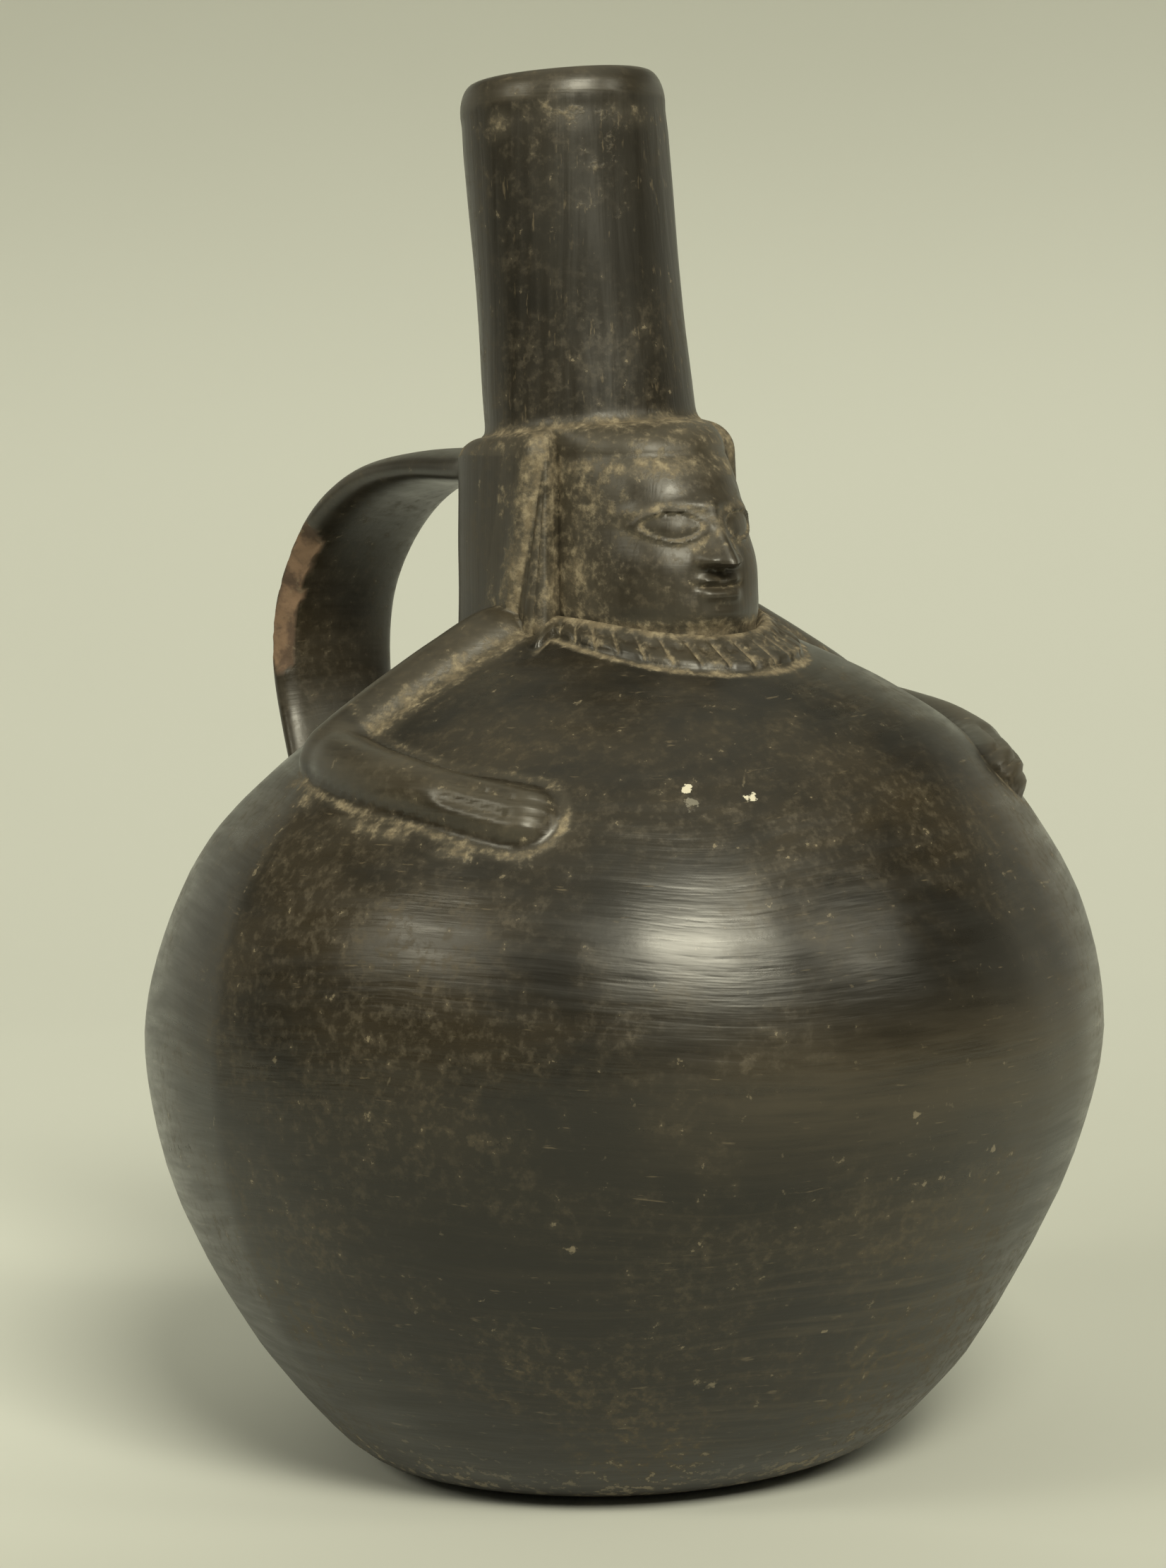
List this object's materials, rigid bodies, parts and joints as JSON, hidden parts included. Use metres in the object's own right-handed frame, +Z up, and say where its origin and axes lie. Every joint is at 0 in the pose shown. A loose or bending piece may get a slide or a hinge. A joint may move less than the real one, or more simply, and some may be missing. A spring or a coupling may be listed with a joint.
{
  "type": "effigy bottle",
  "caption": "Burnished blackware effigy bottle: globular body with arms in relief, human head as its neck, round spout on the head and a strap handle behind.",
  "frame": {"origin": "middle of the flat underside that the bottle stands on", "axes": "+Z up, the figure faces -Y, its right hand lies at -X and the strap handle is at +Y"},
  "size_m": [0.1484, 0.1591, 0.2164],
  "materials": {
    "blackware": "burnished to a soft satin gloss, with dull tan burial deposits in its hollows"
  },
  "bodies": {
    "root": {"bottle": "blackware"}
  },
  "joints": []
}
